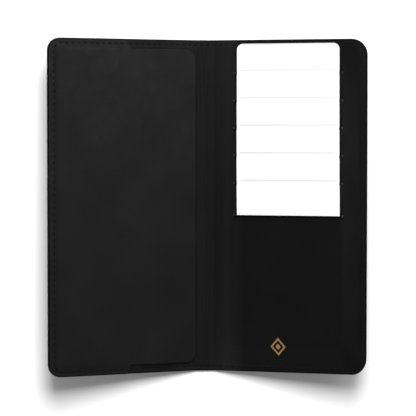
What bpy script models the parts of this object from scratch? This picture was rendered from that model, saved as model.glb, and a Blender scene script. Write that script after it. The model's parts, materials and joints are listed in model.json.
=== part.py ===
"""Phone wallet case: a long bifold leather cover, modelled as separate parts.

The case lies open on its spine with both wings raised into a shallow V.
X runs across the case, Y along the spine and Z up; the origin is the centre of
the spine's outer face. The left wing carries the phone pocket, whose inner half
is a loose flap. The right wing carries six blank cards in a slotted panel.

Inside a wing, u is the distance outward from the fold line, d the distance down
from the case's top edge, and a height is measured from the wing's outer face.
"""

import bmesh
import bpy
from math import atan, cos, pi, radians, sin, sqrt, tan
from mathutils import Vector

MM = 0.001

# ---- whole case -----------------------------------------------------------
LENGTH = 173.0 * MM
HALF_WIDTH = 85.4 * MM          # spine centre line to a wing's outer edge
SPINE_HALF = 4.7 * MM           # spine centre line to a fold line
FOLD_HEIGHT = 2.5 * MM          # fold axis above the outer faces
FOLD_CLEARANCE = 0.3 * MM       # on each side of a fold line
REST_TILT = radians(18.4)
WING = HALF_WIDTH - SPINE_HALF
LEFT_CORNER = 6.6 * MM
RIGHT_CORNER = 8.5 * MM
CORNER_STEPS = 6

# ---- leather and board ----------------------------------------------------
COVER_THICKNESS = 0.9 * MM
BOARD_THICKNESS = 0.4 * MM
INNER_THICKNESS = 0.6 * MM
BACKING_THICKNESS = 0.3 * MM
LAYER_GAP = 0.1 * MM
BOARD_INSET = 3.8 * MM          # board edge inside the leather edge
BOARD_START = 1.2 * MM          # u where a wing's board begins
BACKING_START = 5.0 * MM        # u where the lining behind the cards begins
STIFFENER_INSET = 0.4 * MM      # spine stiffener edge inside the spine leather

# ---- seams ----------------------------------------------------------------
SEAM_END_INSET = 2.45 * MM      # from the top and bottom edges
SEAM_SIDE_INSET = 3.0 * MM      # from a wing's outer edge
THREAD_RADIUS = 0.15 * MM
THREAD_GAP = 0.06 * MM

# ---- phone pocket ---------------------------------------------------------
POCKET_THICKNESS = 0.9 * MM
POCKET_DEPTH = 0.3 * MM         # empty pocket: panel above the inner leather
FLAP_FOLD = 36.3 * MM           # u where the stitched part ends and the flap begins
FLAP_INSET = 4.6 * MM           # flap edge below the case's top edge
FLAP_CORNER = 5.5 * MM
FLAP_REST = radians(1.6)        # the empty flap stands slightly open
STEP_WIDTH = 3.0 * MM           # run of the curve between the two outline widths

# ---- cards ----------------------------------------------------------------
CARD_COUNT = 6
CARD_WIDTH = 53.98 * MM
CARD_HEIGHT = 85.6 * MM
CARD_THICKNESS = 0.76 * MM
CARD_CORNER = 3.18 * MM
CARD_CENTRE = 39.5 * MM         # u of the first card's centre line
CARD_DRIFT = 1.5 * MM           # the last card's centre line is this much farther out
FIRST_CARD_TOP = 2.1 * MM
CARD_LAP = 2.0 * MM             # each card's top edge above the slit before it

# ---- card panel -----------------------------------------------------------
FIRST_SLIT = 17.4 * MM
SLIT_PITCH = 14.2 * MM
LAST_SLIT = 90.8 * MM
SLIT_HALF_LENGTH = 28.25 * MM
SLIT_WIDTH = 0.3 * MM
STRIP_HALF = 27.4 * MM          # half width over which a strip stays flat
LOW_END_MARGIN = 0.4 * MM       # panel stays in front of the last card this far past it
MIDDLE_ROW = 125.0 * MM         # d of one row of points between the last slit and the slope
PANEL_THICKNESS = 0.5 * MM
PANEL_BASE = 2.2 * MM           # height of the panel's middle along its seam
FIRST_CARD_LOW = 2.3 * MM       # height of the first card's middle at its lower end
FIRST_CARD_LEAN = radians(0.66)
CARD_FAN = radians(0.44)        # each card leans this much more than the one behind
LOW_END_SPACING = 1.16 * MM     # between neighbouring cards at the rear one's lower end
FRONT_OFFSET = 0.8 * MM         # panel's middle in front of the last card's middle
SLOPE_LEFT = 0.3 * MM           # u where the panel starts to rise from the spine side
SLOPE_RIGHT = WING - 4.2 * MM   # u where it is down again at the outer side
SLOPE_END = LENGTH - 3.0 * MM   # d where it is down again at the bottom
DIVIDER_THICKNESS = 0.2 * MM
DIVIDER_WIDTH = 55.2 * MM
DIVIDER_OVERLAP = 1.0 * MM      # divider beyond the card's lower end
DIVIDER_DROP = 1.0 * MM         # divider's upper edge below its slit

# ---- emblem ---------------------------------------------------------------
EMBLEM_U = 35.3 * MM
EMBLEM_D = 159.0 * MM
EMBLEM_WIDTH = 8.0 * MM
EMBLEM_HEIGHT = 9.5 * MM
FOIL_THICKNESS = 0.1 * MM
FOIL_GAP = 0.2 * MM

BLACK_LEATHER = ((0.012, 0.012, 0.013), 0.5, 0.0)
INNER_LEATHER = ((0.014, 0.014, 0.015), 0.55, 0.0)
BOARD = ((0.35, 0.30, 0.24), 0.9, 0.0)
LINING = ((0.02, 0.02, 0.022), 0.9, 0.0)
THREAD = ((0.018, 0.018, 0.019), 0.6, 0.0)
CARD = ((0.86, 0.86, 0.86), 0.35, 0.0)
GOLD = ((0.62, 0.40, 0.16), 0.35, 1.0)


def clear_scene():
    for item in list(bpy.data.objects):
        bpy.data.objects.remove(item, do_unlink=True)


def make_collection(name):
    group = bpy.data.collections.new(name)
    bpy.context.scene.collection.children.link(group)
    return group


def make_material(name, look):
    colour, roughness, metallic = look
    material = bpy.data.materials.new(name)
    material.use_nodes = True
    shader = material.node_tree.nodes["Principled BSDF"]
    shader.inputs["Base Color"].default_value = (*colour, 1.0)
    shader.inputs["Roughness"].default_value = roughness
    shader.inputs["Metallic"].default_value = metallic
    return material


def place(item, parent, location=(0.0, 0.0, 0.0), lean=0.0):
    """Hang an object under its parent, leaning up towards +Y."""
    item.parent = parent
    item.location = location
    item.rotation_euler = (lean, 0.0, 0.0)


def make_pivot(name, group, parent, location, turn=0.0, lean=0.0):
    """An empty on a joint: turn is about Y, lean about X."""
    pivot = bpy.data.objects.new(name, None)
    pivot.empty_display_size = 0.01
    group.objects.link(pivot)
    pivot.parent = parent
    pivot.location = location
    pivot.rotation_euler = (lean, turn, 0.0)
    return pivot


# ---- outlines -------------------------------------------------------------
def arc(centre, radius, start, end, steps=CORNER_STEPS):
    points = []
    for i in range(steps + 1):
        angle = start + (end - start) * i / steps
        points.append((centre[0] + radius * cos(angle), centre[1] + radius * sin(angle)))
    return points


def rounded_rectangle(x0, x1, y0, y1, radius):
    points = []
    corners = ((x1, y1, 0.0), (x0, y1, pi / 2), (x0, y0, pi), (x1, y0, 3 * pi / 2))
    for x, y, start in corners:
        cx = x - radius if x == x1 else x + radius
        cy = y - radius if y == y1 else y + radius
        points += arc((cx, cy), radius, start, start + pi / 2)
    return points


def wing_outline(side, u0, u1, half_length, corner):
    """Square towards the spine and rounded at the two outer corners."""
    points = [(u0, -half_length)]
    points += arc((u1 - corner, -half_length + corner), corner, -pi / 2, 0.0)
    points += arc((u1 - corner, half_length - corner), corner, 0.0, pi / 2)
    points.append((u0, half_length))
    return [(side * x, y) for x, y in points]


def ramp(t):
    return min(max(t, 0.0), 1.0)


def smooth(t):
    t = ramp(t)
    return t * t * (3.0 - 2.0 * t)


def pocket_outline(side, u0, u1, half_length, corner):
    """As wing_outline, with both ends stepped in beside the flap."""
    step = []
    for i in range(CORNER_STEPS + 1):
        t = i / CORNER_STEPS
        step.append((u0 + STEP_WIDTH * t, half_length - FLAP_INSET * (1.0 - smooth(t))))
    points = [(x, -y) for x, y in step]
    points += arc((u1 - corner, -half_length + corner), corner, -pi / 2, 0.0)
    points += arc((u1 - corner, half_length - corner), corner, 0.0, pi / 2)
    points += reversed(step)
    return [(side * x, y) for x, y in points]


def flap_outline(side, u0, u1, half_length, corner):
    """Rounded at the free corners, square at the fold; u0 is the free edge."""
    points = [(u1, half_length)]
    points += arc((u0 + corner, half_length - corner), corner, pi / 2, pi)
    points += arc((u0 + corner, -half_length + corner), corner, pi, 3 * pi / 2)
    points.append((u1, -half_length))
    return [(side * x, y) for x, y in points]


# ---- solids ---------------------------------------------------------------
def make_sheet(name, outline, thickness, look, group):
    """A flat sheet of even thickness, centred on its own origin."""
    curve = bpy.data.curves.new(name, "CURVE")
    curve.dimensions = "2D"
    curve.fill_mode = "BOTH"
    curve.extrude = thickness / 2
    spline = curve.splines.new("POLY")
    spline.points.add(len(outline) - 1)
    for point, (x, y) in zip(spline.points, outline):
        point.co = (x, y, 0.0, 1.0)
    spline.use_cyclic_u = True
    curve.materials.append(make_material(name, look))
    item = bpy.data.objects.new(name, curve)
    group.objects.link(item)
    return item


def make_thread(name, path, group):
    """A sewing thread laid along its seam."""
    curve = bpy.data.curves.new(name, "CURVE")
    curve.dimensions = "3D"
    curve.bevel_depth = THREAD_RADIUS
    curve.bevel_resolution = 1
    curve.use_fill_caps = True
    spline = curve.splines.new("POLY")
    spline.points.add(len(path) - 1)
    for point, co in zip(spline.points, path):
        point.co = (*co, 1.0)
    curve.materials.append(make_material(name, THREAD))
    item = bpy.data.objects.new(name, curve)
    group.objects.link(item)
    return item


def make_grid(name, columns, rows, place_point, drop_face):
    """A grid mesh whose points come from place_point(column, row)."""
    mesh = bpy.data.meshes.new(name)
    bm = bmesh.new()
    bmesh.ops.create_grid(bm, x_segments=len(columns) - 1, y_segments=len(rows) - 1, size=1.0)
    cells = {}
    for vert in bm.verts:
        i = round((vert.co.x + 1.0) / 2.0 * (len(columns) - 1))
        j = round((1.0 - vert.co.y) / 2.0 * (len(rows) - 1))
        cells[vert] = (i, j)
    doomed = []
    for face in bm.faces:
        i = min(cells[v][0] for v in face.verts)
        j = min(cells[v][1] for v in face.verts)
        if drop_face(i, j):
            doomed.append(face)
    bmesh.ops.delete(bm, geom=doomed, context="FACES")
    for vert in bm.verts:
        i, j = cells[vert]
        vert.co = place_point(columns[i], rows[j])
    bm.to_mesh(mesh)
    bm.free()
    return mesh


def add_solidify(item, thickness):
    shell = item.modifiers.new("thickness", "SOLIDIFY")
    shell.thickness = thickness
    shell.offset = 0.0
    shell.use_even_offset = True


# ---- cards and slits ------------------------------------------------------
def slit_depth(number):
    """d of a slit, numbered from 1."""
    return LAST_SLIT if number == CARD_COUNT else FIRST_SLIT + (number - 1) * SLIT_PITCH


def card_top(number):
    return FIRST_CARD_TOP if number == 1 else slit_depth(number - 1) - CARD_LAP


def column_centre(d):
    """u of the card column's centre line, which drifts outward from slit to slit."""
    t = (d - FIRST_SLIT) / (LAST_SLIT - FIRST_SLIT)
    return CARD_CENTRE + CARD_DRIFT * ramp(t)


def card_centre(number):
    return column_centre(slit_depth(number))


def card_lean(number):
    return FIRST_CARD_LEAN + (number - 1) * CARD_FAN


def card_low_end(number):
    """d and height of a card's middle at its lower end."""
    depth = card_top(number) + CARD_HEIGHT
    if number == 1:
        return depth, FIRST_CARD_LOW
    rear_depth = card_top(number - 1) + CARD_HEIGHT
    height = card_height_at(number - 1, rear_depth) + LOW_END_SPACING
    return depth, height - (depth - rear_depth) * tan(card_lean(number))


def card_height_at(number, d):
    """Height of a card's middle plane at the depth d."""
    depth, height = card_low_end(number)
    return height + (depth - d) * tan(card_lean(number))


def strip_height(d):
    """Height of the panel's middle in front of or between the cards."""
    if d < slit_depth(1):
        return PANEL_BASE
    for number in range(2, CARD_COUNT + 1):
        if d < slit_depth(number):
            return (card_height_at(number - 1, d) + card_height_at(number, d)) / 2
    low_end = card_low_end(CARD_COUNT)[0] + LOW_END_MARGIN
    front = card_height_at(CARD_COUNT, min(d, low_end)) + FRONT_OFFSET
    return front + (PANEL_BASE - front) * ramp((d - low_end) / (SLOPE_END - low_end))


def slit_end_height(d):
    """Height of the panel's middle beside the strips, level with each card at its slit."""
    above_first = FIRST_SLIT / 2
    if d < above_first:
        return PANEL_BASE
    previous = (above_first, PANEL_BASE)
    for number in range(1, CARD_COUNT + 1):
        current = (slit_depth(number), card_height_at(number, slit_depth(number)))
        if d < current[0]:
            t = (d - previous[0]) / (current[0] - previous[0])
            return previous[1] + (current[1] - previous[1]) * t
        previous = current
    below_last = LAST_SLIT + SLIT_PITCH / 2
    t = min((d - LAST_SLIT) / (below_last - LAST_SLIT), 1.0)
    return previous[1] + (strip_height(d) - previous[1]) * t


def panel_height(u, d):
    """Height of the card panel's middle surface."""
    centre = column_centre(d)
    across = abs(u - centre)
    if across <= STRIP_HALF:
        return strip_height(d)
    if across <= SLIT_HALF_LENGTH:
        t = (across - STRIP_HALF) / (SLIT_HALF_LENGTH - STRIP_HALF)
        return strip_height(d) + (slit_end_height(d) - strip_height(d)) * t
    if u < centre:
        t = (u - SLOPE_LEFT) / (centre - SLIT_HALF_LENGTH - SLOPE_LEFT)
    else:
        t = (SLOPE_RIGHT - u) / (SLOPE_RIGHT - centre - SLIT_HALF_LENGTH)
    return PANEL_BASE + (slit_end_height(d) - PANEL_BASE) * ramp(t)


def on_panel(u, d, lift=0.0):
    """Point on the card panel, in the right wing's frame."""
    return Vector((u, LENGTH / 2 - d, panel_height(u, d) + lift - FOLD_HEIGHT))


def evenly(start, end, count):
    return [start + (end - start) * i / count for i in range(count + 1)]


def make_card_panel(group):
    slit_left = CARD_CENTRE - SLIT_HALF_LENGTH
    slit_right = CARD_CENTRE + SLIT_HALF_LENGTH
    columns = evenly(SLOPE_LEFT, slit_left, 6)
    columns += [CARD_CENTRE - STRIP_HALF, CARD_CENTRE + STRIP_HALF]
    columns += evenly(slit_right, SLOPE_RIGHT, 6) + [WING]

    corner_rows = [RIGHT_CORNER * (1.0 - cos(pi / 2 * i / CORNER_STEPS)) for i in range(CORNER_STEPS + 1)]
    rows = list(corner_rows)
    openings = []
    for number in range(1, CARD_COUNT + 1):
        openings.append(len(rows))
        rows.append(slit_depth(number) - SLIT_WIDTH / 2)
        rows.append(slit_depth(number) + SLIT_WIDTH / 2)
    rows += [LAST_SLIT + SLIT_PITCH / 2, MIDDLE_ROW]
    low_end = card_low_end(CARD_COUNT)[0] + LOW_END_MARGIN
    rows += evenly(low_end, LENGTH - RIGHT_CORNER, 5)
    rows += [LENGTH - d for d in reversed(corner_rows[:-1])]

    first = columns.index(slit_left)
    last = columns.index(slit_right)

    def edge_at(d):
        into_corner = RIGHT_CORNER - min(d, LENGTH - d)
        if into_corner <= 0.0:
            return WING
        return WING - RIGHT_CORNER + sqrt(max(RIGHT_CORNER ** 2 - into_corner ** 2, 0.0))

    def place_point(u, d):
        """Shift a grid point with the drifting column and pull it in at the round corners."""
        shift = column_centre(d) - CARD_CENTRE
        if u < slit_left:
            shift *= (u - SLOPE_LEFT) / (slit_left - SLOPE_LEFT)
        elif u > slit_right:
            shift *= (WING - u) / (WING - slit_right)
        point = on_panel(u + shift, d)
        if u > slit_right:
            right = slit_right + column_centre(d) - CARD_CENTRE
            point.x = right + (u + shift - right) * (edge_at(d) - right) / (WING - right)
        return point

    def drop_face(i, j):
        return j in openings and first <= i < last

    mesh = make_grid("card_panel", columns, rows, place_point, drop_face)
    item = bpy.data.objects.new("card_panel", mesh)
    mesh.materials.append(make_material("card_panel", INNER_LEATHER))
    group.objects.link(item)
    add_solidify(item, PANEL_THICKNESS)
    return item


def make_emblem(group):
    """A plain lozenge of foil that follows the panel's curve."""
    lift = PANEL_THICKNESS / 2 + FOIL_GAP + FOIL_THICKNESS / 2

    def place_point(s, t):
        u = EMBLEM_U + (s - t) / 2 * EMBLEM_WIDTH / 2
        d = EMBLEM_D + (s + t) / 2 * EMBLEM_HEIGHT / 2
        return on_panel(u, d, lift)

    steps = evenly(-1.0, 1.0, 6)
    mesh = make_grid("foil_emblem", steps, steps, place_point, lambda i, j: False)
    item = bpy.data.objects.new("foil_emblem", mesh)
    mesh.materials.append(make_material("foil_emblem", GOLD))
    group.objects.link(item)
    add_solidify(item, FOIL_THICKNESS)
    return item


# ---- groups ---------------------------------------------------------------
def layer(height, thickness):
    """Local z of a layer's middle, from the height of its underside."""
    return height + thickness / 2 - FOLD_HEIGHT


BOARD_BOTTOM = COVER_THICKNESS + LAYER_GAP
INNER_BOTTOM = BOARD_BOTTOM + BOARD_THICKNESS + LAYER_GAP
INNER_TOP = INNER_BOTTOM + INNER_THICKNESS
POCKET_BOTTOM = INNER_TOP + POCKET_DEPTH
POCKET_MIDDLE = POCKET_BOTTOM + POCKET_THICKNESS / 2


def seam_path(side, start, corner, height):
    """Seam round a wing, from the spine side along both ends and the outer edge."""
    y = LENGTH / 2 - SEAM_END_INSET
    x = WING - SEAM_SIDE_INSET
    radius = corner - SEAM_END_INSET
    flat = [(start, y)]
    flat += reversed(arc((x - radius, y - radius), radius, 0.0, pi / 2))
    flat += reversed(arc((x - radius, -y + radius), radius, -pi / 2, 0.0))
    flat.append((start, -y))
    return [(side * u, v, height - FOLD_HEIGHT) for u, v in flat]


def make_spine(group):
    root = make_pivot("spine_origin", group, None, (0.0, 0.0, 0.0))
    half = SPINE_HALF - FOLD_CLEARANCE
    y = LENGTH / 2
    strips = (
        ("spine_cover", half, y, 0.0, COVER_THICKNESS, BLACK_LEATHER),
        ("spine_stiffener", half - STIFFENER_INSET, y - BOARD_INSET, BOARD_BOTTOM, BOARD_THICKNESS, BOARD),
        ("spine_lining", half, y, INNER_BOTTOM, INNER_THICKNESS, INNER_LEATHER),
    )
    for name, x, y_end, bottom, thickness, look in strips:
        outline = [(-x, -y_end), (x, -y_end), (x, y_end), (-x, y_end)]
        strip = make_sheet(name, outline, thickness, look, group)
        place(strip, root, (0.0, 0.0, bottom + thickness / 2))
    seam_y = LENGTH / 2 - SEAM_END_INSET
    seam_z = INNER_TOP + THREAD_GAP + THREAD_RADIUS
    for name, end in (("spine_seam_top", 1), ("spine_seam_bottom", -1)):
        path = [(-half, end * seam_y, seam_z), (half, end * seam_y, seam_z)]
        place(make_thread(name, path, group), root)


def make_wing_base(group, pivot, prefix, side, corner):
    """Outer leather and the board behind it."""
    cover = make_sheet(
        prefix + "_cover",
        wing_outline(side, FOLD_CLEARANCE, WING, LENGTH / 2, corner),
        COVER_THICKNESS,
        BLACK_LEATHER,
        group,
    )
    place(cover, pivot, (0.0, 0.0, layer(0.0, COVER_THICKNESS)))
    board = make_sheet(
        prefix + "_board",
        wing_outline(side, BOARD_START, WING - BOARD_INSET, LENGTH / 2 - BOARD_INSET, corner - BOARD_INSET),
        BOARD_THICKNESS,
        BOARD,
        group,
    )
    place(board, pivot, (0.0, 0.0, layer(BOARD_BOTTOM, BOARD_THICKNESS)))


def make_left_wing(group):
    pivot = make_pivot("left_fold", group, None, (-SPINE_HALF, 0.0, FOLD_HEIGHT), turn=REST_TILT)
    make_wing_base(group, pivot, "left", -1, LEFT_CORNER)
    inner = make_sheet(
        "left_inner_leather",
        wing_outline(-1, FOLD_CLEARANCE, WING, LENGTH / 2, LEFT_CORNER),
        INNER_THICKNESS,
        INNER_LEATHER,
        group,
    )
    place(inner, pivot, (0.0, 0.0, layer(INNER_BOTTOM, INNER_THICKNESS)))

    panel_start = FLAP_FOLD + FOLD_CLEARANCE
    panel = make_sheet(
        "phone_pocket_panel",
        pocket_outline(-1, panel_start, WING, LENGTH / 2, LEFT_CORNER),
        POCKET_THICKNESS,
        BLACK_LEATHER,
        group,
    )
    place(panel, pivot, (0.0, 0.0, layer(POCKET_BOTTOM, POCKET_THICKNESS)))

    pocket_top = POCKET_BOTTOM + POCKET_THICKNESS
    path = seam_path(-1, panel_start + STEP_WIDTH, LEFT_CORNER, pocket_top + THREAD_GAP + THREAD_RADIUS)
    place(make_thread("phone_pocket_seam", path, group), pivot)
    gutter_z = INNER_TOP + THREAD_GAP + THREAD_RADIUS - FOLD_HEIGHT
    seam_y = LENGTH / 2 - SEAM_END_INSET
    for name, end in (("left_gutter_seam_top", 1), ("left_gutter_seam_bottom", -1)):
        path = [(-FOLD_CLEARANCE, end * seam_y, gutter_z), (-FLAP_FOLD, end * seam_y, gutter_z)]
        place(make_thread(name, path, group), pivot)

    flap_pivot = make_pivot(
        "flap_fold", group, pivot, (-FLAP_FOLD, 0.0, POCKET_MIDDLE - FOLD_HEIGHT), turn=-FLAP_REST
    )
    flap = make_sheet(
        "phone_pocket_flap",
        flap_outline(1, -FLAP_FOLD + FOLD_CLEARANCE, -FOLD_CLEARANCE, LENGTH / 2 - FLAP_INSET, FLAP_CORNER),
        POCKET_THICKNESS,
        BLACK_LEATHER,
        group,
    )
    flap.rotation_euler = (0.0, 0.0, pi)
    flap.parent = flap_pivot


def make_dividers(group, pivot):
    """Thin lining between neighbouring cards, behind the panel."""
    for number in range(1, CARD_COUNT):
        top = slit_depth(number + 1) + DIVIDER_DROP
        bottom = card_low_end(number)[0] + DIVIDER_OVERLAP
        middle = (top + bottom) / 2
        height = (card_height_at(number, middle) + card_height_at(number + 1, middle)) / 2
        rise = card_height_at(number, top) + card_height_at(number + 1, top)
        fall = card_height_at(number, bottom) + card_height_at(number + 1, bottom)
        lean = atan((rise - fall) / 2 / (bottom - top))
        half_height = (bottom - top) / 2 / cos(lean)
        outline = rounded_rectangle(
            -DIVIDER_WIDTH / 2, DIVIDER_WIDTH / 2, -half_height, half_height, CARD_CORNER
        )
        name = f"card_divider_{number}"
        divider = make_sheet(name, outline, DIVIDER_THICKNESS, LINING, group)
        centre = (card_centre(number) + card_centre(number + 1)) / 2
        place(divider, pivot, (centre, LENGTH / 2 - middle, height - FOLD_HEIGHT), lean)


def make_cards(group, pivot):
    outline = rounded_rectangle(
        -CARD_WIDTH / 2, CARD_WIDTH / 2, -CARD_HEIGHT / 2, CARD_HEIGHT / 2, CARD_CORNER
    )
    for number in range(1, CARD_COUNT + 1):
        lean = card_lean(number)
        depth, height = card_low_end(number)
        y = LENGTH / 2 - depth + CARD_HEIGHT / 2 * cos(lean)
        z = height + CARD_HEIGHT / 2 * sin(lean) - FOLD_HEIGHT
        slide = make_pivot(f"card_{number}_slide", group, pivot, (card_centre(number), y, z), lean=lean)
        card = make_sheet(f"card_{number}", outline, CARD_THICKNESS, CARD, group)
        card.parent = slide


def make_right_wing(group):
    pivot = make_pivot("right_fold", group, None, (SPINE_HALF, 0.0, FOLD_HEIGHT), turn=-REST_TILT)
    make_wing_base(group, pivot, "right", 1, RIGHT_CORNER)
    backing = make_sheet(
        "card_backing",
        wing_outline(
            1, BACKING_START, WING - BOARD_INSET, LENGTH / 2 - BOARD_INSET, RIGHT_CORNER - BOARD_INSET
        ),
        BACKING_THICKNESS,
        LINING,
        group,
    )
    place(backing, pivot, (0.0, 0.0, layer(INNER_BOTTOM, BACKING_THICKNESS)))
    place(make_card_panel(group), pivot)
    place(make_emblem(group), pivot)
    seam_height = PANEL_BASE + PANEL_THICKNESS / 2 + THREAD_GAP + THREAD_RADIUS
    path = seam_path(1, FOLD_CLEARANCE, RIGHT_CORNER, seam_height)
    place(make_thread("card_panel_seam", path, group), pivot)
    make_dividers(group, pivot)
    make_cards(group, pivot)


def main():
    clear_scene()
    group = make_collection("phone_wallet_case")
    make_spine(group)
    make_left_wing(group)
    make_right_wing(group)


main()
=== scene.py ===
"""Looks for the phone wallet case: leather, stitching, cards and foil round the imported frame.
"""

import json
from math import asin, cos, exp, pi, radians, sin, tan

import bmesh
import bpy
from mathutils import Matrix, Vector


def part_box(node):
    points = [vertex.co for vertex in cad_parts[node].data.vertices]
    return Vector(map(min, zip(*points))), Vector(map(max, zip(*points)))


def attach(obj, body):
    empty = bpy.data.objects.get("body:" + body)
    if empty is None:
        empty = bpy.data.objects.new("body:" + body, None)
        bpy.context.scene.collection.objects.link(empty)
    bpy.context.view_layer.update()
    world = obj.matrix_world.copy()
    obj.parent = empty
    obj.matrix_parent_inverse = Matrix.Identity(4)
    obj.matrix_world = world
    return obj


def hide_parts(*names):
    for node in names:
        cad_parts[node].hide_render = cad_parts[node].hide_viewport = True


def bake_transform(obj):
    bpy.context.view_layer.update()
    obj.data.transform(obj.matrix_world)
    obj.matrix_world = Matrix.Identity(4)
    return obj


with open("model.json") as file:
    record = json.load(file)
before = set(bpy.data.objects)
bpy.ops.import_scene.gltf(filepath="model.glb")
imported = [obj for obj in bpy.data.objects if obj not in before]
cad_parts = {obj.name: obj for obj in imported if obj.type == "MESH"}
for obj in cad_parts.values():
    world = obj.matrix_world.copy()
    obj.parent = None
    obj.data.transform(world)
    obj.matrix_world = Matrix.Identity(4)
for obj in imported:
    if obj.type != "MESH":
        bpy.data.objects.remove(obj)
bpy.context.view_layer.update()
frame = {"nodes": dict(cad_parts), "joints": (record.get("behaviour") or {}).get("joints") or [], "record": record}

MM = 0.001
SIDES = {"left": -1, "right": 1}

# ---- sizes read from the frame ----------------------------------------------
joints = {joint["name"]: joint for joint in frame["joints"]}
TILT = radians(joints["left_fold"]["range_deg"][1])
SPINE_HALF = joints["right_fold"]["pos_m"][0]
FOLD_HEIGHT = joints["right_fold"]["pos_m"][2]
FLAP_REST = radians(-joints["flap_lift"]["range_deg"][0])
HALF_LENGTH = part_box("spine_cover")[1].y


def unfold(side, point):
    """(s, y, h) of a point on a wing in the rest pose."""
    x = side * point[0] - SPINE_HALF
    z = point[2] - FOLD_HEIGHT
    s = SPINE_HALF + x * cos(TILT) + z * sin(TILT)
    return Vector((s, point[1], FOLD_HEIGHT - x * sin(TILT) + z * cos(TILT)))


def measure(node, side):
    """Lowest and highest (s, y, h) of a CAD node on a wing."""
    flat = [unfold(side, vertex.co) for vertex in frame["nodes"][node].data.vertices]
    low = Vector([min(p[i] for p in flat) for i in range(3)])
    high = Vector([max(p[i] for p in flat) for i in range(3)])
    return low, high


HALF_WIDTH = measure("right_cover", 1)[1].x
COVER_TOP = measure("right_cover", 1)[1].z
INNER_LOW, INNER_HIGH = (corner.z for corner in measure("left_inner_leather", -1))
POCKET_LOW, POCKET_HIGH = (corner.z for corner in measure("phone_pocket_panel", -1))
FLAP_FOLD = unfold(-1, joints["flap_lift"]["pos_m"]).x
FLAP_FOLD_HEIGHT = unfold(-1, joints["flap_lift"]["pos_m"]).z
FLAP_EDGE = measure("phone_pocket_flap", -1)[0].x
FLAP_HALF = measure("phone_pocket_flap", -1)[1].y

# ---- sizes of the looks -----------------------------------------------------
CLEARANCE = 0.02 * MM           # left between two layers that touch
MERGE = 1e-7                    # vertices closer than this are one, in metres

# folds
FOLD_REACH = 1.7 * MM           # leather bends this far each side of a fold line
FLAP_REACH = 3.0 * MM
COARSE = 3.0 * MM               # grid step on flat stretches of leather

# leathers, with e for the distance from the edge
CORNERS = {"left": 6.6 * MM, "right": 8.5 * MM}
RINGS = [e * MM for e in (0.0, 0.03, 0.1, 0.22, 0.4, 0.8, 1.4, 2.0, 2.45, 2.9, 3.4, 4.0, 4.7, 5.6)]
EDGE_ROUNDNESS = 0.4 * MM
PAINT_WIDTH = 0.45 * MM         # painted rim of each leather
PRESSED_LOW = 1.2 * MM          # underside of the inner leather at the sewn edge
INNER_RISE = (2.0 * MM, 1.7 * MM)   # e where a layer starts to rise, and the width of the rise
PANEL_RISE = (1.0 * MM, 2.7 * MM)
POCKET_RISE = (1.2 * MM, 5.0 * MM)
FILLER_END = (2.0 * MM, 1.5 * MM)   # e where the sewn edge's filler thins out, and over which
OUTER_ROLL = 0.2 * MM           # the outer face turns in by this much at the edge
OUTER_ROLL_WIDTH = 3.0 * MM
SHARP_ANGLE = radians(50)

# loose half of the phone pocket
FLAP_CORNER = 5.5 * MM
STEP_WIDTH = 3.0 * MM
SEWN_WIDTH = 4.0 * MM           # past the fold line the pocket comes down to its seam over this
FLAP_GAPE = 0.8 * MM
FLAP_GAPE_S = 27 * MM
FLAP_GAPE_HALF = 7.5 * MM
FLAP_GAPE_DEPTH = 9 * MM

# seams
SEAM_END = 2.45 * MM
SEAM_SIDE = 3.0 * MM
SEAM_DENT = 0.1 * MM
DENT_WIDTH = 0.45 * MM
STITCH_PITCH = 3.3 * MM
STITCH_LENGTH = 2.6 * MM
STITCH_RADIUS = 0.23 * MM
STITCH_LIFT = 0.35 * STITCH_RADIUS
STITCH_SLANT = radians(7)
STRAND_SIDES = 6
STRAND_SECTIONS = 6
TACK_STRANDS = 4
TACK_PITCH = 0.26 * MM
TACK_INSET = 0.15 * MM
TACK_LENGTH = 1.7 * MM
TACK_RADIUS = 0.16 * MM
TACK_LIFT = 0.1 * MM

# card panel, with d for the depth below the top edge
CARD_LAP = 2.0 * MM             # a card's top stands this far above the slit before it
CARD_BEVEL = 0.12 * MM
LAST_SLIT = 90.8 * MM
SLIT_HALF = 28.25 * MM
STRIP_HALF = 27.4 * MM
STRIP_PLAIN = 26 * MM
SLIT_WIDTH = 0.3 * MM
# the slits' edge paint is spread this way into a broad band of painted shade along each slit
SLIT_PAINT_AND_SHADE = 0.3                # depth beside a slit counts this much as distance from an edge
PANEL_THICKNESS = 0.5 * MM
PANEL_BASE = 2.2 * MM
PANEL_TUCK = 0.4 * MM           # the panel starts down this far below the last card
FRONT_OFFSET = 0.8 * MM
BRIDGE_START = 1.0 * MM         # the panel leaves the spine here and bridges to the cards
SPINE_EASE = 6 * MM
SLOPE_RIGHT = HALF_WIDTH - 4.2 * MM
SLOPE_END = 2 * HALF_LENGTH - 3.0 * MM
SLOPE_ROUND = 0.12              # rounded share of a slope at its corners
LIP_LIFT = 0.6 * MM
LIP_REACH = 2.2 * MM
LIP_FLAT = 7.0 * MM
BEAD_SIDES = 8
BEAD_WIDTH = 0.6 * MM
BEAD_HEIGHT = PANEL_THICKNESS + 0.2 * MM
BEAD_OFFSET = 0.1 * MM
BEAD_STEP = 1.4 * MM

# foil lozenge, in shares of its half size
FOIL_FRAME = 0.72
FOIL_CORE = 0.36
FOIL_LIFT = 0.03 * MM
FOIL_THICKNESS = 0.04 * MM

# finish and light
PAINT_DARK = (0.0004, 0.0004, 0.0004)
PAINT_LIGHT = (0.0009, 0.0009, 0.001)
PAINT_FADE = (0.25 * MM, 0.55 * MM)
SPINE_SHEEN_IN = (-5 * MM, 9 * MM)   # s over which the painted sheen along the spine comes in, and then goes
SPINE_SHEEN_OUT = (13 * MM, 22 * MM)
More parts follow.
